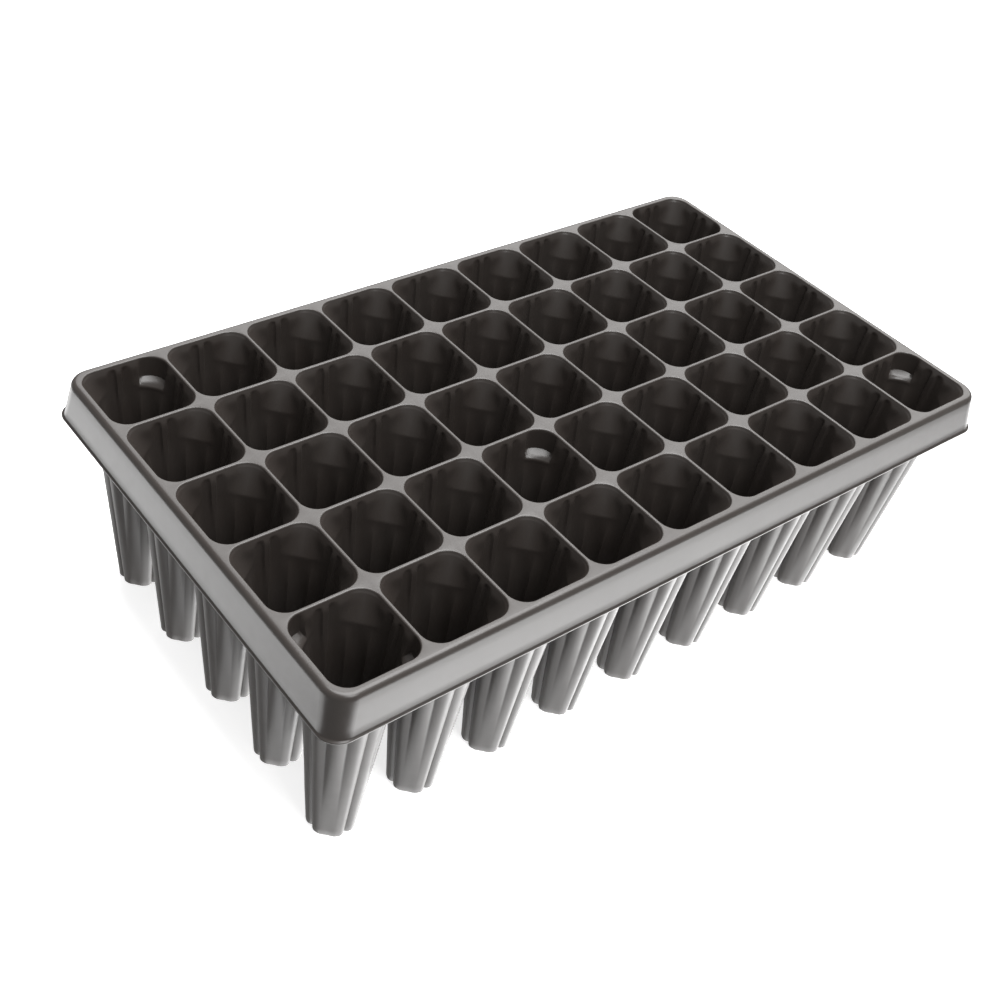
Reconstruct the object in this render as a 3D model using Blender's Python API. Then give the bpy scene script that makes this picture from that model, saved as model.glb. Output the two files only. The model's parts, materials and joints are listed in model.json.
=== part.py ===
# Deep plug tray: nine by five tapered cells that hang from one deck, inside a stepped rim.
# Metres, +Z up, origin on the standing plane under the middle of the tray, +X along the long side.
# The real tray is one moulding. Each cell here takes its own square share of the deck,
# and the rim is four straight runs and four corners, with a hairline gap between neighbours.

import math

import bmesh
import bpy
from mathutils import Vector

# Grid of cells
COLUMNS = 9
ROWS = 5
PITCH = 0.0574
HEIGHT = 0.154
GAP = 0.0003

# One cell, from the deck down to the foot
DECK_THICKNESS = 0.0014
OPENING_HALF = 0.0274
OPENING_CORNER = 0.0115
MOUTH_WALL = 0.0009
POCKET_DEPTH = 0.018
THROAT_RADIUS = 0.0270
FOOT_RADIUS = 0.0152
LEG_WALL = 0.0012
THROAT_GROOVE = 0.0018
FOOT_GROOVE = 0.0020
FLOOR_THICKNESS = 0.0014
DRAIN_RADIUS = 0.0065

# Stacking lugs: ledges that fill a corner pocket of a few cells
LUG_DEPTH = 0.0124
LUG_SLOPE = 0.0014
LUG_INNER_RADIUS = 0.0262

# Rim, as distances outwards from the outer grid line and down from the deck top
DECK_EDGE = (0.0016, 0.0)
DECK_ROUND = (0.0030, 0.0012)
STEP_FOOT = (0.0034, 0.0042)
SHOULDER = (0.0048, 0.0046)
SKIRT_END = (0.0082, 0.0268)
LIP_EDGE = (0.0092, 0.0280)
SKIRT_WALL = 0.0014
RIM_CORNER = 0.0097
CORNER_STEPS = 4
SHARP_ANGLE = math.radians(40)

# Corners of a cell, counted anticlockwise from +X+Y
RIGHT_BACK, LEFT_BACK, LEFT_FRONT, RIGHT_FRONT = range(4)
CORNER_SIGNS = ((1, 1), (-1, 1), (-1, -1), (1, -1))

# (column, row) of each lug cell, and the corners that its lugs fill
LUG_CELLS = {
    (1, 1): (LEFT_BACK, RIGHT_FRONT),
    (9, 5): (LEFT_BACK, RIGHT_FRONT),
    (1, 5): (RIGHT_BACK, LEFT_FRONT),
    (9, 1): (RIGHT_BACK, LEFT_FRONT),
    (4, 2): (RIGHT_BACK, LEFT_FRONT),
}

CELL_FINISH = {"colour": (0.040, 0.038, 0.037, 1.0), "roughness": 0.45}
RIM_FINISH = {"colour": (0.055, 0.053, 0.052, 1.0), "roughness": 0.38}


def clear_scene():
    for obj in list(bpy.data.objects):
        bpy.data.objects.remove(obj, do_unlink=True)


def plastic(name, finish):
    material = bpy.data.materials.new(name)
    material.use_nodes = True
    shader = material.node_tree.nodes["Principled BSDF"]
    shader.inputs["Base Color"].default_value = finish["colour"]
    shader.inputs["Roughness"].default_value = finish["roughness"]
    shader.inputs["Metallic"].default_value = 0.0
    return material


def turned(point, quarter):
    """The point turned anticlockwise by this many quarter turns."""
    x, y = point
    for _ in range(quarter):
        x, y = -y, x
    return x, y


def square_ring(half, corner_radii, z):
    """Sixteen points round a square: the middle of each side and three on each corner's arc."""
    ring = []
    for quarter, radius in enumerate(corner_radii):
        centre = half - radius
        ring.append(turned((half, 0.0), quarter))
        for angle in (0.0, math.pi / 4, math.pi / 2):
            point = (centre + radius * math.cos(angle), centre + radius * math.sin(angle))
            ring.append(turned(point, quarter))
    return [Vector((x, y, z)) for x, y in ring]


def fluted_ring(radius, groove, z):
    """Sixteen points round a circle, with a groove at the middle of each side."""
    ring = []
    for quarter in range(4):
        ring.append(turned((radius - groove, 0.0), quarter))
        for degrees in (24, 45, 66):
            angle = math.radians(degrees)
            ring.append(turned((radius * math.cos(angle), radius * math.sin(angle)), quarter))
    return [Vector((x, y, z)) for x, y in ring]


def drain_ring(radius, z):
    """An eight-sided ring, each corner twice, so that it pairs with sixteen points."""
    ring = []
    for side in range(8):
        angle = side * math.pi / 4
        ring += [Vector((radius * math.cos(angle), radius * math.sin(angle), z))] * 2
    return ring


def lug_rings(throat, mouth, lug_corners):
    """The inner outlines at a lug's inner edge and where its ledge meets the corner wall."""
    drop = HEIGHT - throat[0].z
    edge_share = 1 - (LUG_DEPTH + LUG_SLOPE) / drop
    wall_share = 1 - LUG_DEPTH / drop
    edge = [low.lerp(high, edge_share) for low, high in zip(throat, mouth)]
    wall = [low.lerp(high, wall_share) for low, high in zip(throat, mouth)]
    for corner in lug_corners:
        for place in range(4 * corner + 1, 4 * corner + 4):
            flat = edge[place].xy.normalized() * LUG_INNER_RADIUS
            edge[place] = Vector((flat.x, flat.y, edge[place].z))
    return [edge, wall]


def loft(name, rings):
    """A closed ring-shaped skin through all the outlines, the last joined to the first."""
    mesh = bpy.data.meshes.new(name)
    work = bmesh.new()
    loops = [[work.verts.new(point) for point in ring] for ring in rings]
    count = len(rings[0])
    for level, loop in enumerate(loops):
        below = loops[(level + 1) % len(loops)]
        for i in range(count):
            after = (i + 1) % count
            work.faces.new((loop[i], below[i], below[after], loop[after]))
    bmesh.ops.remove_doubles(work, verts=work.verts, dist=1e-6)
    bmesh.ops.recalc_face_normals(work, faces=work.faces)
    work.to_mesh(mesh)
    work.free()
    return mesh


def cell_mesh(name, flange_corners, lug_corners):
    half = PITCH / 2 - GAP / 2
    throat_z = HEIGHT - POCKET_DEPTH
    wall_corners = (OPENING_CORNER + MOUTH_WALL,) * 4
    mouth = square_ring(OPENING_HALF, (OPENING_CORNER,) * 4, HEIGHT)
    throat = fluted_ring(THROAT_RADIUS - LEG_WALL, THROAT_GROOVE, throat_z)
    rings = [
        square_ring(half, flange_corners, HEIGHT),
        square_ring(half, flange_corners, HEIGHT - DECK_THICKNESS),
        square_ring(OPENING_HALF + MOUTH_WALL, wall_corners, HEIGHT - DECK_THICKNESS),
        fluted_ring(THROAT_RADIUS, THROAT_GROOVE, throat_z - LEG_WALL),
        fluted_ring(FOOT_RADIUS, FOOT_GROOVE, 0.0),
        drain_ring(DRAIN_RADIUS, 0.0),
        drain_ring(DRAIN_RADIUS, FLOOR_THICKNESS),
        fluted_ring(FOOT_RADIUS - LEG_WALL, FOOT_GROOVE, FLOOR_THICKNESS),
        throat,
    ]
    if lug_corners:
        rings += lug_rings(throat, mouth, lug_corners)
    rings.append(mouth)
    return loft(name, rings)


def add_object(name, mesh, material, location=(0.0, 0.0, 0.0)):
    obj = bpy.data.objects.new(name, mesh)
    obj.location = location
    if not mesh.materials:
        mesh.materials.append(material)
        mesh.shade_smooth()
        mesh.set_sharp_from_angle(angle=SHARP_ANGLE)
    bpy.context.scene.collection.objects.link(obj)
    return obj


def flange_corners_of(column, row):
    """The flange is square, apart from the tray's own four corners, which are round."""
    radii = []
    for sign_x, sign_y in CORNER_SIGNS:
        outermost = (COLUMNS if sign_x > 0 else 1, ROWS if sign_y > 0 else 1)
        radii.append(RIM_CORNER - GAP / 2 if (column, row) == outermost else 0.0)
    return tuple(radii)


def add_cells(material):
    shared = {}
    for row in range(1, ROWS + 1):
        for column in range(1, COLUMNS + 1):
            variant = (flange_corners_of(column, row), LUG_CELLS.get((column, row), ()))
            name = f"cell_r{row}_c{column}"
            if variant not in shared:
                shared[variant] = cell_mesh(name, *variant)
            x = (column - (COLUMNS + 1) / 2) * PITCH
            y = (row - (ROWS + 1) / 2) * PITCH
            add_object(name, shared[variant], material, (x, y, 0.0))


def rim_profile():
    """The rim's cross-section as (outwards, z), outer skin downwards and inner skin upwards."""
    inner_edge = GAP / 2
    outer = [(inner_edge, 0.0), DECK_EDGE, DECK_ROUND, STEP_FOOT, SHOULDER, SKIRT_END, LIP_EDGE]
    inner = [
        (LIP_EDGE[0] - SKIRT_WALL, LIP_EDGE[1]),
        (SKIRT_END[0] - SKIRT_WALL, SKIRT_END[1] - SKIRT_WALL),
        (SHOULDER[0] - SKIRT_WALL, SHOULDER[1] + SKIRT_WALL),
        (STEP_FOOT[0] - SKIRT_WALL, STEP_FOOT[1] + SKIRT_WALL),
        (DECK_ROUND[0] - SKIRT_WALL, DECK_THICKNESS),
        (inner_edge, DECK_THICKNESS),
    ]
    return [(out, HEIGHT - down) for out, down in outer + inner]


def sweep(name, stations):
    """A closed bar through the same cross-section at each station, capped at both ends."""
    mesh = bpy.data.meshes.new(name)
    work = bmesh.new()
    loops = [[work.verts.new(point) for point in station] for station in stations]
    count = len(stations[0])
    for loop, following in zip(loops, loops[1:]):
        for i in range(count):
            after = (i + 1) % count
            work.faces.new((loop[i], loop[after], following[after], following[i]))
    work.faces.new(loops[0])
    work.faces.new(loops[-1])
    bmesh.ops.recalc_face_normals(work, faces=work.faces)
    work.to_mesh(mesh)
    work.free()
    return mesh


def straight_run(name, length):
    """A rim run along X that faces -Y, with its grid line on the X axis."""
    reach = length / 2 - RIM_CORNER - GAP / 2
    profile = rim_profile()
    return sweep(name, [[Vector((x, -out, z)) for out, z in profile] for x in (-reach, reach)])


def corner_run(name):
    """A quarter turn of the rim about the Z axis, from facing -X to facing -Y."""
    stations = []
    for step in range(CORNER_STEPS + 1):
        angle = math.pi + math.pi / 2 * step / CORNER_STEPS
        stations.append(
            [
                Vector(((RIM_CORNER + out) * math.cos(angle), (RIM_CORNER + out) * math.sin(angle), z))
                for out, z in rim_profile()
            ]
        )
    return sweep(name, stations)


def add_rim(material):
    length, width = COLUMNS * PITCH, ROWS * PITCH
    runs = (
        ("skirt_front", length, (0.0, -width / 2), 0),
        ("skirt_right", width, (length / 2, 0.0), 1),
        ("skirt_back", length, (0.0, width / 2), 2),
        ("skirt_left", width, (-length / 2, 0.0), 3),
    )
    for name, run_length, (x, y), quarter in runs:
        obj = add_object(name, straight_run(name, run_length), material, (x, y, 0.0))
        obj.rotation_euler.z = quarter * math.pi / 2
    turn_x, turn_y = length / 2 - RIM_CORNER, width / 2 - RIM_CORNER
    corners = (
        ("corner_front_left", (-turn_x, -turn_y), 0),
        ("corner_front_right", (turn_x, -turn_y), 1),
        ("corner_back_right", (turn_x, turn_y), 2),
        ("corner_back_left", (-turn_x, turn_y), 3),
    )
    quarter_turn = corner_run("rim_corner")
    for name, (x, y), quarter in corners:
        obj = add_object(name, quarter_turn, material, (x, y, 0.0))
        obj.rotation_euler.z = quarter * math.pi / 2


def main():
    clear_scene()
    add_cells(plastic("cell_plastic", CELL_FINISH))
    add_rim(plastic("rim_plastic", RIM_FINISH))


main()
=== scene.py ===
import json
import math

import bmesh
import bpy
from mathutils import Euler, Matrix, Vector

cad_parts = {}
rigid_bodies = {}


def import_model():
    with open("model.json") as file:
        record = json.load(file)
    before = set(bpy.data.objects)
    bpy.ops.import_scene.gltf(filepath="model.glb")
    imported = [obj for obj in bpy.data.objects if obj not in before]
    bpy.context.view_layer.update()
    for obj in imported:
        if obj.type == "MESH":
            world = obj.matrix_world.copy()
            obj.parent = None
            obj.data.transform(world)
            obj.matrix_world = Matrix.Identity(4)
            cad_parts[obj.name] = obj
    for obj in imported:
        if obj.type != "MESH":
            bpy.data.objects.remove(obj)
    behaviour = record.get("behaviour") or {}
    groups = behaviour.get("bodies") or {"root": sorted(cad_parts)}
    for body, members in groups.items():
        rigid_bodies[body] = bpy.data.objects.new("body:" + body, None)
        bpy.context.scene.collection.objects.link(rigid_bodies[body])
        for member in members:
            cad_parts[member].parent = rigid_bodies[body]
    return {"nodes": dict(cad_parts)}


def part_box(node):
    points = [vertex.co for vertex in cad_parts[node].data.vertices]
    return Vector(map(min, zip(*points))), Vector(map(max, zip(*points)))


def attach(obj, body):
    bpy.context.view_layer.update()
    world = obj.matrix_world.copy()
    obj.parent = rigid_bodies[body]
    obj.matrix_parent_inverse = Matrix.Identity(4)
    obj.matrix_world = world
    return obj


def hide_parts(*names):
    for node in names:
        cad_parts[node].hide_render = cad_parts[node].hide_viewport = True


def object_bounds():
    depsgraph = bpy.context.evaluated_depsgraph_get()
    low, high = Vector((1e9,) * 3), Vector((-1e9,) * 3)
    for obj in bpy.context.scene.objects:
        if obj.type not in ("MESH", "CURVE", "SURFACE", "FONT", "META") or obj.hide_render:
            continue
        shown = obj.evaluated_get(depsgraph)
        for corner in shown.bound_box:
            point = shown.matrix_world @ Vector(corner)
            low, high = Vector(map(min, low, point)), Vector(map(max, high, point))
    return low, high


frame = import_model()
cadLow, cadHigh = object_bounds()
print("frame loaded")

tray = {
    "columns": 9,
    "rows": 5,
    "deckThickness": 0.0014,
    "weld": 0.00002,  # points of neighbouring cells that are closer than this are one point
    "doubles": 0.000001,  # the same within one cell
    "sharpAbove": 50,  # degrees
}


def cellCentre(column, row):
    low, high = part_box(f"cell_r{row}_c{column}")
    return (low + high) / 2


height = cadHigh.z
firstCell = cellCentre(1, 1)
pitch = cellCentre(2, 1).x - firstCell.x
gridX = tray["columns"] * pitch / 2
gridY = tray["rows"] * pitch / 2


def addObject(name, data, collection=None):
    made = bpy.data.objects.new(name, data)
    (collection or bpy.context.scene.collection).objects.link(made)
    return made


def eased(value, start, end):
    share = min(max((value - start) / (end - start), 0.0), 1.0)
    return share * share * (3 - 2 * share)


def roundedSquare(angle, half, corner):
    # distance from the middle to the edge of a square with round corners
    fold = abs((angle + math.pi / 4) % (math.pi / 2) - math.pi / 4)
    centre = half - corner
    if half * math.tan(fold) <= centre:
        return half / math.cos(fold)
    reach = centre * (math.cos(fold) + math.sin(fold))
    skew = centre * (math.cos(fold) - math.sin(fold))
    return reach + math.sqrt(max(corner * corner - skew * skew, 0.0))


# a cell is a stack of rings; a depth is measured down from the deck and a z up from the floor
mouth = {
    "half": 0.0274,  # half the width of an opening
    "corner": 0.0115,
    "edgeRound": 0.0010,  # rounding from the deck into the opening
    "roundSteps": 4,
    "wall": 0.0009,
    "pocketDepth": 0.0185,  # the corner pockets end here, in an arch
    "settle": 0.0065,  # depth over which the walls step in below the edge
    "settleIn": 0.00125,
}

leg = {
    "footRadius": 0.0152,
    "taper": 0.088,
    "wall": 0.0011,
    "flutes": 12,
    "fluteDepth": 0.0021,
    "fluteSharpness": 1.7,
    "widenTo": 0.034,  # depth where the flutes have their full width
    "fadeFrom": 0.105,  # height where the lesser flutes start to fade downwards
    "fadeTo": 0.020,
    "diagonalDip": 0.0008,  # the foot is a little flat on its diagonals
    "diagonalDipTo": 0.07,
    "ribDepth": 0.0015,  # between the pockets a flute is a narrow rib inside
    "ribFrom": 3.6,  # degrees off the middle of a wall, from the rib's face to its foot
    "ribTo": 5.8,
    "stripeMiddle": 11,  # degrees off the middle of a wall; two sunk stripes stand beside the rib
    "stripeHalf": 6,
    "stripeTo": 16.6,
    "stripeEdge": 1.6,
    "stripeTop": 0.0017,  # depth where a stripe begins in its middle
    "stripeTopSag": 0.0012,  # and how much deeper at its sides
    "stripeTopLength": 0.0020,
    "archFrom": 0.010,  # below this depth the leg's wall closes over the pockets
    "footRound": 0.0008,
    "footSteps": 2,
    "footFlat": 0.82,  # share of the foot's radius that is flat outside the raised floor
    "footInside": 0.001,  # height whose outline the inside of the foot follows
    "floorRise": 0.0012,
    "floorThickness": 0.0014,
    "drainRadius": 0.0065,
    "drainEdge": 0.0012,
    "drainLift": 0.0001,
}

lug = {
    "depth": 0.0142,  # the ledge, where it meets the pocket's wall
    "slope": 0.0030,
    "innerRadius": 0.0264,
    "draft": 0.06,
    "chamfer": 0.0015,
    "chamferIn": 0.0006,
    "halfAngle": 17.1,  # degrees either side of the diagonal
    "skinWider": 2.0,  # degrees more on the outside
    "skinBelow": 0.0010,
}

# (column, row) of a cell with lugs, and the diagonals in degrees that its lugs stand on
lugCells = {
    (1, 1): (135, 315),
    (9, 5): (135, 315),
    (1, 5): (45, 225),
    (9, 1): (45, 225),
    (4, 2): (45, 225),
}

# degrees from the middle of a wall to the diagonal, closest together at creases
octant = (0, 2, 3.6, 5, 6, 8, 10.5, 13, 15, 17, 18.5, 21, 24, 27.4, 28.4, 30, 32, 34, 36, 38.2, 40.5, 42.8)

innerDepths = (0.0018, 0.0025, 0.0032, 0.0040, 0.0050, 0.0065, 0.0085, 0.0105, 0.0125, 0.0142,
               0.0157, 0.0172, 0.0180, 0.0187, 0.0196, 0.0208, 0.0225, 0.0255, 0.030, 0.038,
               0.052, 0.075, 0.100, 0.125, 0.148)
outerDepths = (0.0035, 0.0070, 0.0110, 0.0152, 0.0167, 0.0182, 0.0199, 0.0225, 0.0255, 0.030,
               0.038, 0.052, 0.075, 0.100, 0.125, 0.148)


def ringAngles():
    turns = []
    for quarter in range(4):
        turns += [quarter * 90 + turn for turn in octant] + [quarter * 90 + 45]
        turns += [quarter * 90 + 90 - turn for turn in reversed(octant[1:])]
    return [math.radians(turn) for turn in turns]


angles = ringAngles()


def ring(radiusAt, z):
    points = []
    for angle in angles:
        radius = radiusAt(angle)
        points.append(Vector((radius * math.cos(angle), radius * math.sin(angle), z)))
    return points


def fromWall(angle):
    # degrees from the middle of the nearest wall, 0 to 45
    return abs((math.degrees(angle) + 45) % 90 - 45)


def offDiagonal(angle, diagonal):
    return abs((math.degrees(angle) - diagonal + 180) % 360 - 180)


def fluteDip(angle, z):
    # how far the wall is pulled in by the flutes at this angle and height
    step = 2 * math.pi / leg["flutes"]
    nearest = round(angle / step)
    away = abs(angle - nearest * step) / (step / 2)
    groove = leg["fluteDepth"] * max(1 - away, 0.0) ** leg["fluteSharpness"]
    widen = eased(height - z, mouth["pocketDepth"], leg["widenTo"])
    diagonal = max(math.cos(4 * angle + math.pi), 0.0) ** 2
    dip = leg["diagonalDip"] * diagonal * (1 - eased(z, 0.0, leg["diagonalDipTo"]))
    if nearest % (leg["flutes"] // 4) == 0:  # the flute in the middle of a wall goes all the way up
        rib = leg["ribDepth"] * (1 - eased(fromWall(angle), leg["ribFrom"], leg["ribTo"]))
        return rib * (1 - widen) + groove * widen + dip
    return (groove * eased(z, leg["fadeTo"], leg["fadeFrom"]) + dip) * widen


def legRadius(angle, z):
    return leg["footRadius"] + leg["taper"] * z - fluteDip(angle, z)


def mouthRadius(angle, grow=0.0):
    return roundedSquare(angle, mouth["half"] + grow, mouth["corner"] + grow)


def pocketRadius(angle, depth):
    # flat walls a little inside the mouth, and corners that lean in evenly until they meet the leg
    half = mouth["half"] - mouth["settleIn"] * eased(depth, 0.0, mouth["settle"]) - leg["taper"] * depth
    top = mouthRadius(math.pi / 4)
    bottom = leg["footRadius"] + leg["taper"] * (height - mouth["pocketDepth"]) - leg["wall"]
    diagonal = top + (bottom - top) * depth / mouth["pocketDepth"]
    corner = (math.sqrt(2) * half - diagonal) / (math.sqrt(2) - 1)
    return roundedSquare(angle, half, min(corner, half))


def cupRadius(angle, depth):
    # the inside: pockets at the top, with the leg's wall sunk behind them as stripes, and the leg below
    sunkWall = legRadius(angle, height - depth) - leg["wall"]
    if depth > mouth["pocketDepth"]:
        return sunkWall
    off = fromWall(angle)
    top = leg["stripeTop"] + leg["stripeTopSag"] * (abs(off - leg["stripeMiddle"]) / leg["stripeHalf"]) ** 2
    across = 1 - eased(off, leg["stripeTo"], leg["stripeTo"] + leg["stripeEdge"])
    across = max(across, eased(depth, leg["archFrom"], mouth["pocketDepth"]))
    sunk = eased(depth, top, top + leg["stripeTopLength"]) * across
    pocket = pocketRadius(angle, depth)
    return pocket + max(sunkWall - pocket, 0.0) * sunk


def innerRadius(angle, depth, diagonals, wider=0.0):
    plain = cupRadius(angle, depth)
    if not any(offDiagonal(angle, diagonal) < lug["halfAngle"] + wider for diagonal in diagonals):
        return plain
    back = mouthRadius(angle) - lug["draft"] * min(depth, lug["depth"])
    if depth <= lug["depth"]:  # the pocket over a lug has a steep wall
        return back
    if depth > lug["depth"] + lug["slope"] + lug["chamfer"]:
        return plain
    ledge = min((depth - lug["depth"]) / lug["slope"], 1.0)
    below = min(max(depth - lug["depth"] - lug["slope"], 0.0) / lug["chamfer"], 1.0)
    face = lug["innerRadius"] - lug["chamferIn"] * below
    return back + (face - back) * ledge


def outerRadius(angle, depth, diagonals):
    # the skin runs round the outside of a lug too, a step wider and lower than its inside
    around = innerRadius(angle, max(depth - lug["skinBelow"], 0.0), diagonals, lug["skinWider"])
    return max(cupRadius(angle, depth), around) + mouth["wall"]


def tileRadius(roundCorner):
    # the cell's share of the deck is square, and round at a corner of the tray
    def radiusAt(angle):
        quadrant = int(math.degrees(angle) // 90)
        corner = rim["corner"] if quadrant == roundCorner else 0.0
        return roundedSquare(angle, pitch / 2, corner)
    return radiusAt


def mouthRings():
    # from the flat deck, over the rounded edge and into the opening
    rings = []
    for step in range(mouth["roundSteps"] + 1):
        turn = math.pi / 2 * step / mouth["roundSteps"]
        grow = mouth["edgeRound"] * (1 - math.sin(turn))
        drop = mouth["edgeRound"] * (1 - math.cos(turn))
        rings.append(ring(lambda angle: mouthRadius(angle, grow), height - drop))
    return rings


def footRings(radiusAt, lift):
    # the foot's rounded edge, then its floor in to the drain hole
    rings = []
    for step in range(leg["footSteps"] + 1):
        turn = math.pi / 2 * step / leg["footSteps"]
        shrink = leg["footRound"] * (1 - math.cos(turn))
        rise = leg["footRound"] * (1 - math.sin(turn))
        rings.append(ring(lambda angle: radiusAt(angle) - shrink, lift + rise))
    floor = lift + leg["floorRise"]
    rings.append(ring(lambda angle: radiusAt(angle) * leg["footFlat"], lift))
    rings.append(ring(lambda angle: leg["drainRadius"] + leg["drainEdge"], floor))
    rings.append(ring(lambda angle: leg["drainRadius"], floor + leg["drainLift"]))
    return rings


def cellRings(diagonals, roundCorner):
    # over the deck's edge, down the inside, through the drain hole and up the outside
    def wallRings(radiusAt, depths):
        return [ring(lambda angle: radiusAt(angle, depth, diagonals), height - depth) for depth in depths]

    inside = footRings(lambda angle: legRadius(angle, leg["footInside"]) - leg["wall"], leg["floorThickness"])
    outside = footRings(lambda angle: legRadius(angle, 0.0), 0.0)
    under = height - tray["deckThickness"]
    rings = [ring(tileRadius(roundCorner), height)] + mouthRings()
    rings += wallRings(innerRadius, innerDepths) + inside
    rings += outside[::-1] + wallRings(outerRadius, outerDepths)[::-1]
    rings.append(ring(lambda angle: mouthRadius(angle, mouth["wall"]), under))
    rings.append(ring(tileRadius(roundCorner), under))
    return rings


def loftMesh(name, rings):
    mesh = bpy.data.meshes.new(name)
    work = bmesh.new()
    loops = [[work.verts.new(point) for point in points] for points in rings]
    for loop, following in zip(loops, loops[1:]):
        for place in range(len(loop)):
            after = (place + 1) % len(loop)
            work.faces.new((loop[place], loop[after], following[after], following[place]))
    bmesh.ops.remove_doubles(work, verts=work.verts, dist=tray["doubles"])
    work.to_mesh(mesh)
    work.free()
    return mesh


def rowTree():
    # a cell of the right kind on every point of a row, joined into one mesh
    tree = bpy.data.node_groups.new("cellRow", "GeometryNodeTree")
    tree.is_modifier = True
    tree.interface.new_socket("Places", in_out="INPUT", socket_type="NodeSocketGeometry")
    tree.interface.new_socket("Cells", in_out="INPUT", socket_type="NodeSocketCollection")
    tree.interface.new_socket("Weld", in_out="INPUT", socket_type="NodeSocketFloat")
    tree.interface.new_socket("Plastic", in_out="INPUT", socket_type="NodeSocketMaterial")
    tree.interface.new_socket("Row", in_out="OUTPUT", socket_type="NodeSocketGeometry")
    source = tree.nodes.new("NodeGroupInput")
    result = tree.nodes.new("NodeGroupOutput")
    info = tree.nodes.new("GeometryNodeCollectionInfo")
    info.inputs["Separate Children"].default_value = True
    info.inputs["Reset Children"].default_value = True
    which = tree.nodes.new("GeometryNodeInputNamedAttribute")
    which.data_type = "INT"
    which.inputs["Name"].default_value = "cellKind"
    place = tree.nodes.new("GeometryNodeInstanceOnPoints")
    place.inputs["Pick Instance"].default_value = True
    realize = tree.nodes.new("GeometryNodeRealizeInstances")
    merge = tree.nodes.new("GeometryNodeMergeByDistance")
    smooth = tree.nodes.new("GeometryNodeSetShadeSmooth")
    paint = tree.nodes.new("GeometryNodeSetMaterial")
    link = tree.links.new
    link(source.outputs["Cells"], info.inputs["Collection"])
    link(source.outputs["Places"], place.inputs["Points"])
    link(info.outputs["Instances"], place.inputs["Instance"])
    link(which.outputs["Attribute"], place.inputs["Instance Index"])
    link(place.outputs["Instances"], realize.inputs["Geometry"])
    link(realize.outputs["Geometry"], merge.inputs["Geometry"])
    link(source.outputs["Weld"], merge.inputs["Distance"])
    link(merge.outputs["Geometry"], smooth.inputs["Geometry"])
    link(smooth.outputs["Geometry"], paint.inputs["Geometry"])
    link(source.outputs["Plastic"], paint.inputs["Material"])
    link(paint.outputs["Geometry"], result.inputs["Row"])
    return tree


def setInputs(modifier, values):
    for item in modifier.node_group.interface.items_tree:
        if item.item_type == "SOCKET" and item.in_out == "INPUT" and item.name in values:
            modifier[item.identifier] = values[item.name]


def settle(made):
    # swaps an object's modifiers for their result
    graph = bpy.context.evaluated_depsgraph_get()
    mesh = bpy.data.meshes.new_from_object(made.evaluated_get(graph))
    made.modifiers.clear()
    made.data = mesh
    mesh.name = made.name


def closeRow(mesh):
    # walls between the top and underside of the deck, round the row's own edge
    middle = height - tray["deckThickness"] / 2

    def spot(vert):
        return round(vert.co.x, 5), round(vert.co.y, 5)

    work = bmesh.new()
    work.from_mesh(mesh)
    under = {spot(vert): vert for vert in work.verts if vert.is_boundary and vert.co.z < middle}
    for edge in [edge for edge in work.edges if edge.is_boundary]:
        first, second = edge.verts
        if first.co.z < middle:
            continue
        if edge.link_loops[0].vert != first:
            first, second = second, first
        work.faces.new((second, first, under[spot(first)], under[spot(second)]))
    work.to_mesh(mesh)
    work.free()


def makeCells(shelf):
    # one cell of each kind goes on the shelf; returns which kind stands at each place, row by row
    kinds, rows = [], []
    lastColumn, lastRow = tray["columns"], tray["rows"]
    # which quarter of a corner cell, anticlockwise from +X, has the tray's round corner
    roundCorners = {(lastColumn, lastRow): 0, (1, lastRow): 1, (1, 1): 2, (lastColumn, 1): 3}
    for row in range(1, lastRow + 1):
        used = []
        for column in range(1, lastColumn + 1):
            kind = (lugCells.get((column, row), ()), roundCorners.get((column, row)))
            if kind not in kinds:
                kinds.append(kind)
                name = f"cellKind{len(kinds):02d}"
                addObject(name, loftMesh(name, cellRings(*kind)), shelf)
            used.append(kinds.index(kind))
        rows.append(used)
    return rows


def makeRows(material):
    shelf = bpy.data.collections.new("cellKinds")
    tree = rowTree()
    pieces = []
    for row, used in enumerate(makeCells(shelf), start=1):
        line = bpy.data.meshes.new(f"row{row}Places")
        y = firstCell.y + pitch * (row - 1)
        line.from_pydata([(firstCell.x + pitch * place, y, 0.0) for place in range(len(used))], [], [])
        line.attributes.new("cellKind", "INT", "POINT").data.foreach_set("value", used)
        made = addObject(f"cellRow{row}", line)
        modifier = made.modifiers.new("cells", "NODES")
        modifier.node_group = tree
        setInputs(modifier, {"Cells": shelf, "Weld": tray["weld"], "Plastic": material})
        settle(made)
        closeRow(made.data)
        made.data.shade_smooth()
        made.data.set_sharp_from_angle(angle=math.radians(tray["sharpAbove"]))
        pieces.append(made)
    for spare in list(shelf.objects):
        bpy.data.objects.remove(spare)
    bpy.data.collections.remove(shelf)
    return pieces


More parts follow.
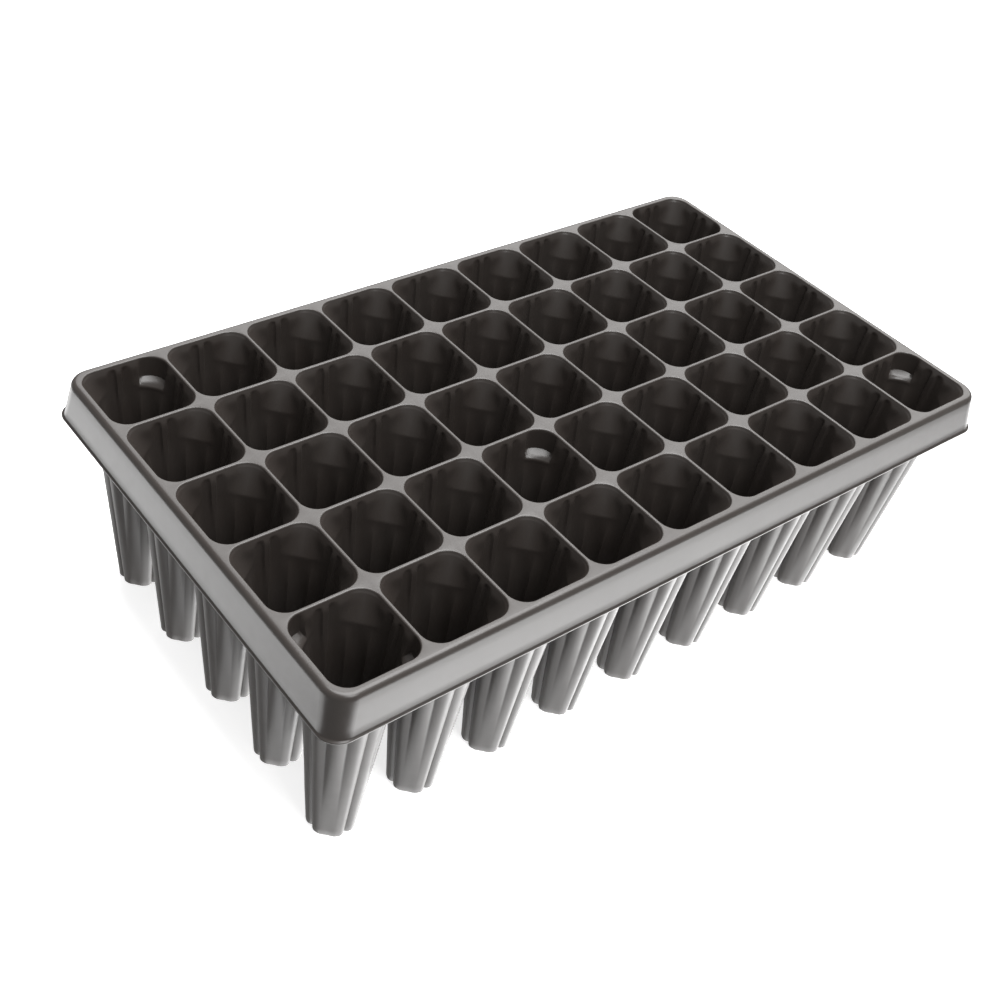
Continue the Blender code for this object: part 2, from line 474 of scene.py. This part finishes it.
# outwards is measured from the edge of the grid of cells, and down from the deck
rim = {
    "corner": 0.0097,  # arc centres lie this far inside the grid's corner
    "wall": 0.0014,
    "flat": 0.0009,  # deck left outside the grid before the edge rounds over
    "shoulderOut": 0.0047,  # the rounding is slow at first, then quick, and ends here
    "shoulderDown": 0.0036,
    # tilts in degrees along the rounding, and the share of its length that each one takes
    "tilts": ((0, 0.06), (6, 0.10), (12, 0.10), (18, 0.10), (25, 0.10), (34, 0.10), (44, 0.12), (54, 0.12),
              (63, 0.10), (71, 0.10)),
    "skirtOut": 0.0082,
    "skirtDown": 0.0266,
    "skirtSteps": (0.25, 0.5, 0.75, 0.96),
    "lipOut": 0.0092,
    "lipDown": 0.0280,
    "tighten": 1.3,  # 0 turns the corners about one centre, 1 keeps their radius the same down to the lip
    "stationGap": 0.008,  # length of a step along a straight side
    "ripple": 0.00025,  # how far the long front skirt waves in
    "waves": ((1.0, 31.0, 0.7), (0.6, 67.0, 2.1), (0.4, 113.0, 0.0)),  # share, turn for each metre, start
    "waveEnds": 0.03,  # the waves grow over this length from either end
    "waveFront": 0.004,  # and over this distance in front of the grid
    "sharpAbove": 60,  # degrees
}
tenth = 0.0001  # a tenth of a millimetre, for the small roundings of the lip and of the inner skin


def rimProfile():
    # (outwards, height) down the outer skin, then back up the inner skin
    out, down = rim["flat"], 0.0
    outer = [(0.0, 0.0), (out * 0.6, 0.0)]
    reach = sum(share * math.cos(math.radians(tilt)) for tilt, share in rim["tilts"])
    drop = sum(share * math.sin(math.radians(tilt)) for tilt, share in rim["tilts"])
    for tilt, share in rim["tilts"]:
        out += (rim["shoulderOut"] - rim["flat"]) * share * math.cos(math.radians(tilt)) / reach
        down += rim["shoulderDown"] * share * math.sin(math.radians(tilt)) / drop
        outer.append((out, down))
    for share in rim["skirtSteps"]:
        outer.append((
            rim["shoulderOut"] + (rim["skirtOut"] - rim["shoulderOut"]) * share,
            rim["shoulderDown"] + (rim["skirtDown"] - rim["shoulderDown"]) * share,
        ))
    outer += [
        (rim["skirtOut"] + 2 * tenth, rim["skirtDown"] - tenth),
        (rim["lipOut"] - 2 * tenth, rim["skirtDown"] + tenth),
        (rim["lipOut"], rim["skirtDown"] + 4 * tenth),
        (rim["lipOut"], rim["lipDown"] - 3 * tenth),
        (rim["lipOut"] - 3 * tenth, rim["lipDown"]),
    ]
    inner = [
        (rim["skirtOut"] - rim["wall"] + 4 * tenth, rim["lipDown"]),
        (rim["skirtOut"] - rim["wall"], rim["lipDown"] - 6 * tenth),
        (rim["shoulderOut"] - rim["wall"], rim["shoulderDown"] + 6 * tenth),
        (rim["shoulderOut"] - rim["wall"] * 1.6, tray["deckThickness"] + 8 * tenth),
        (rim["shoulderOut"] - rim["wall"] * 2.4, tray["deckThickness"] + tenth),
        (0.0, tray["deckThickness"]),
    ]
    return [(out, height - down) for out, down in outer + inner]


def cornerTurns():
    # the directions from a corner's arc centre to the points that the corner cell's deck has on that arc
    turns = []
    centre = pitch / 2 - rim["corner"]
    for angle in angles[:2 * len(octant) + 1]:  # the first quarter
        radius = roundedSquare(angle, pitch / 2, rim["corner"])
        x = radius * math.cos(angle) - centre
        y = radius * math.sin(angle) - centre
        if x > 0 and y > 0:
            turns.append(math.atan2(y, x))
    return [0.0] + turns + [math.pi / 2]


def towards(heading):
    return Vector((math.cos(heading), math.sin(heading)))


def rimStations():
    # (point on the grid's edge, direction outwards, sideways share) anticlockwise from the right side
    reach = rim["corner"]
    turns = cornerTurns()
    stations = []
    corners = ((1, 1), (-1, 1), (-1, -1), (1, -1))
    for index, (signX, signY) in enumerate(corners):
        centre = Vector((signX * (gridX - reach), signY * (gridY - reach)))
        mitre = Vector((signX, signY))
        headings = [turn + math.pi / 2 * index for turn in turns]
        for heading, following in zip(headings, headings[1:] + [None]):
            outward = towards(heading)
            here = centre + outward * reach
            stations.append((here, outward, mitre - outward))
            if following is not None:  # halfway, on the chord, so that the deck meets it without a gap
                ahead = centre + towards(following) * reach
                halfway = towards((heading + following) / 2)
                stations.append(((here + ahead) / 2, halfway, mitre - halfway))
        nextX, nextY = corners[(index + 1) % 4]
        end = Vector((nextX * (gridX - reach), nextY * (gridY - reach))) + outward * reach
        count = max(int((end - here).length / rim["stationGap"]), 1)
        for step in range(2, count - 1):  # a wide step beside each corner
            stations.append((here.lerp(end, step / count), outward, Vector((0.0, 0.0))))
    return stations


def ripple(x, y, z):
    # the long front skirt isn't quite straight at its lower edge
    low = min(max((height - z) / rim["lipDown"], 0.0), 1.0) ** 2
    along = sum(share * math.sin(x * turn + start) for share, turn, start in rim["waves"])
    front = eased(-y, gridY, gridY + rim["waveFront"])
    ends = 1 - eased(abs(x), gridX - rim["waveEnds"], gridX)
    return rim["ripple"] * low * front * ends * (0.5 + 0.25 * along)


def makeRim(material):
    profile = rimProfile()
    work = bmesh.new()
    loops = []
    for base, outward, aside in rimStations():
        loop = []
        for out, z in profile:
            # below the shoulder a corner also steps sideways, so that its radius doesn't grow with the flare
            tighten = max(out - rim["shoulderOut"], 0.0) * rim["tighten"]
            place = base + outward * out + aside * tighten
            loop.append(work.verts.new((place.x, place.y + ripple(place.x, place.y, z), z)))
        loops.append(loop)
    for loop, following in zip(loops, loops[1:] + loops[:1]):
        for place in range(len(loop)):
            after = (place + 1) % len(loop)
            work.faces.new((loop[place], loop[after], following[after], following[place]))
    bmesh.ops.recalc_face_normals(work, faces=work.faces)
    mesh = bpy.data.meshes.new("rimAndSkirt")
    work.to_mesh(mesh)
    work.free()
    mesh.materials.append(material)
    mesh.shade_smooth()
    mesh.set_sharp_from_angle(angle=math.radians(rim["sharpAbove"]))
    return addObject("rimAndSkirt", mesh)


plastic = {
    "colour": (0.031, 0.0255, 0.0225),
    "worn": (0.048, 0.0430, 0.0395),
    "rubbed": (0.52, 0.62, 0.0, 0.5),  # from and to of an edge's curvature, then of its wear
    "blotch": 0.030,  # size of the slow blotches
    "blotched": (0.35, 0.7, 0.0, 0.35),  # from and to of the noise, then of the wear
    "roughness": 0.30,
    "legRoughness": 0.42,  # the legs are duller than the rim
    "glossyTo": 0.026,  # depth where the change to the duller legs begins, and where it ends
    "dullFrom": 0.060,
    "scuff": 0.006,  # size of the scuffs
    "scuffed": (0.3, 0.75, -0.012, 0.03),  # from and to of the noise, then of the change in roughness
    "grain": 0.00035,  # size of the moulded grain
    "grainStrength": 0.08,
    "grainHeight": 0.00001,
    "sink": 0.012,  # size of the slow unevenness
    "sinkStrength": 0.15,
    "sinkHeight": 0.0002,
    "ior": 1.52,
}


def plasticMaterial(name):
    material = bpy.data.materials.new(name)
    material.use_nodes = True
    nodes, link = material.node_tree.nodes, material.node_tree.links.new
    shader = nodes["Principled BSDF"]
    where = nodes.new("ShaderNodeTexCoord")

    def noise(size, detail, rough=0.5):
        made = nodes.new("ShaderNodeTexNoise")
        made.inputs["Scale"].default_value = 1 / size
        made.inputs["Detail"].default_value = detail
        made.inputs["Roughness"].default_value = rough
        link(where.outputs["Object"], made.inputs["Vector"])
        return made.outputs["Fac"]

    def ramped(value, low, high, fromValue, toValue):
        made = nodes.new("ShaderNodeMapRange")
        made.inputs["From Min"].default_value = low
        made.inputs["From Max"].default_value = high
        made.inputs["To Min"].default_value = fromValue
        made.inputs["To Max"].default_value = toValue
        link(value, made.inputs["Value"])
        return made.outputs["Result"]

    def added(first, second, clamp=False):
        made = nodes.new("ShaderNodeMath")
        made.operation = "ADD"
        made.use_clamp = clamp
        link(first, made.inputs[0])
        link(second, made.inputs[1])
        return made.outputs["Value"]

    def bumped(pattern, strength, distance):
        made = nodes.new("ShaderNodeBump")
        made.inputs["Strength"].default_value = strength
        made.inputs["Distance"].default_value = distance
        link(pattern, made.inputs["Height"])
        return made

    # colour: slow blotches, and paler where edges have been rubbed
    edge = nodes.new("ShaderNodeNewGeometry")
    rubbed = ramped(edge.outputs["Pointiness"], *plastic["rubbed"])
    blotched = ramped(noise(plastic["blotch"], 4), *plastic["blotched"])
    mix = nodes.new("ShaderNodeMix")
    mix.data_type = "RGBA"
    mix.inputs["A"].default_value = (*plastic["colour"], 1)
    mix.inputs["B"].default_value = (*plastic["worn"], 1)
    link(added(rubbed, blotched, clamp=True), mix.inputs["Factor"])
    link(mix.outputs["Result"], shader.inputs["Base Color"])

    # gloss: a satin skin with duller scuffs
    split = nodes.new("ShaderNodeSeparateXYZ")
    link(where.outputs["Object"], split.inputs["Vector"])
    low, high = height - plastic["dullFrom"], height - plastic["glossyTo"]
    base = ramped(split.outputs["Z"], low, high, plastic["legRoughness"], plastic["roughness"])
    scuffed = ramped(noise(plastic["scuff"], 5, 0.6), *plastic["scuffed"])
    link(added(base, scuffed), shader.inputs["Roughness"])

    # skin: fine moulded grain over a slow unevenness
    grain = bumped(noise(plastic["grain"], 2), plastic["grainStrength"], plastic["grainHeight"])
    sink = bumped(noise(plastic["sink"], 2), plastic["sinkStrength"], plastic["sinkHeight"])
    link(sink.outputs["Normal"], grain.inputs["Normal"])
    link(grain.outputs["Normal"], shader.inputs["Normal"])
    shader.inputs["IOR"].default_value = plastic["ior"]
    return material


studio = {
    "camera": (-0.52721, -0.47043, 0.65971),
    "heading": -42.29,  # degrees about the vertical
    "tilt": 48.76,  # degrees up from straight down
    "roll": 8.97,
    "lens": 48.64,
    "sensor": 36.0,
    "shift": (0.0848, -0.0047),
    "clip": (0.01, 100.0),
    "floorSize": 60.0,
    "floorColour": (0.86, 0.86, 0.86),
    "floorRoughness": 0.9,
    "floorGlow": 0.75,
    "world": 0.38,
}

# softboxes: azimuth from +X, elevation, distance, (width, height), brightness
lights = {
    "backPanel": (38, 40, 2.0, (3.0, 1.6), 2.95),
    "topPanel": (0, 78, 4.0, (3.4, 3.4), 8.0),
    "leftUnderPanel": (138, -28, 1.5, (2.0, 0.55), 3.3),
    "rightUnderPanel": (-40, -37, 1.5, (2.5, 1.1), 3.3),
    "tablePanel": (-60, -68, 1.3, (1.9, 1.9), 3.6),
    "keyPanel": (-95, 50, 2.0, (0.8, 0.8), 8.0),
}


def makeCamera():
    data = bpy.data.cameras.new("camera")
    data.lens = studio["lens"]
    data.sensor_width = studio["sensor"]
    data.shift_x, data.shift_y = studio["shift"]
    data.clip_start, data.clip_end = studio["clip"]
    made = addObject("camera", data)
    turn = Euler((0, 0, math.radians(studio["heading"]))).to_matrix()
    turn = turn @ Euler((math.radians(studio["tilt"]), 0, 0)).to_matrix()
    turn = turn @ Euler((0, 0, math.radians(studio["roll"]))).to_matrix()
    made.matrix_world = Matrix.Translation(studio["camera"]) @ turn.to_4x4()
    bpy.context.scene.camera = made


def makeSoftbox(name, azimuth, elevation, distance, size, brightness):
    # a panel in this direction from the middle of the tray, in degrees from +X and above the horizon
    side, rise = math.radians(azimuth), math.radians(elevation)
    away = Vector((math.cos(side) * math.cos(rise), math.sin(side) * math.cos(rise), math.sin(rise)))
    data = bpy.data.lights.new(name, "AREA")
    data.shape = "RECTANGLE"
    data.size, data.size_y = size
    data.energy = brightness * math.pi * size[0] * size[1]
    made = addObject(name, data)
    made.location = Vector((0.0, 0.0, height / 2)) + away * distance
    made.rotation_euler = away.to_track_quat("Z", "Y").to_euler()
    made.visible_camera = False


def makeStudio():
    size = studio["floorSize"] / 2
    mesh = bpy.data.meshes.new("floor")
    corners = [(-size, -size, 0), (size, -size, 0), (size, size, 0), (-size, size, 0)]
    mesh.from_pydata(corners, [], [(0, 1, 2, 3)])
    floor = addObject("floor", mesh)
    material = bpy.data.materials.new("floorWhite")
    material.use_nodes = True
    shader = material.node_tree.nodes["Principled BSDF"]
    shader.inputs["Base Color"].default_value = (*studio["floorColour"], 1)
    shader.inputs["Roughness"].default_value = studio["floorRoughness"]
    shader.inputs["Emission Color"].default_value = (1, 1, 1, 1)
    shader.inputs["Emission Strength"].default_value = studio["floorGlow"]
    mesh.materials.append(material)
    # the panels under the floor light the tray through it, as a pale table would
    floor.visible_glossy = False
    floor.visible_diffuse = False
    floor.visible_shadow = False
    world = bpy.data.worlds.new("studio")
    world.use_nodes = True
    background = world.node_tree.nodes["Background"]
    background.inputs["Color"].default_value = (1, 1, 1, 1)
    background.inputs["Strength"].default_value = studio["world"]
    bpy.context.scene.world = world
    for name, light in lights.items():
        makeSoftbox(name, *light)
    bpy.context.scene.view_settings.view_transform = "Standard"


makeCamera()
makeStudio()
print("camera, floor and lights placed")

cellPlastic = plasticMaterial("cellPlastic")
rimPlastic = plasticMaterial("rimPlastic")
print("plastic mixed")
rowPieces = makeRows(cellPlastic)
print("cells made:", [len(piece.data.polygons) for piece in rowPieces])
rimPiece = makeRim(rimPlastic)
print("rim made:", len(rimPiece.data.polygons))

for row, piece in enumerate(rowPieces, start=1):
    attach(piece, "root")
    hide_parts(*[f"cell_r{row}_c{column}" for column in range(1, tray["columns"] + 1)])
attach(rimPiece, "root")
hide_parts(*[name for name in frame["nodes"] if name.startswith(("skirt_", "corner_"))])
print("pieces handed to the frame")
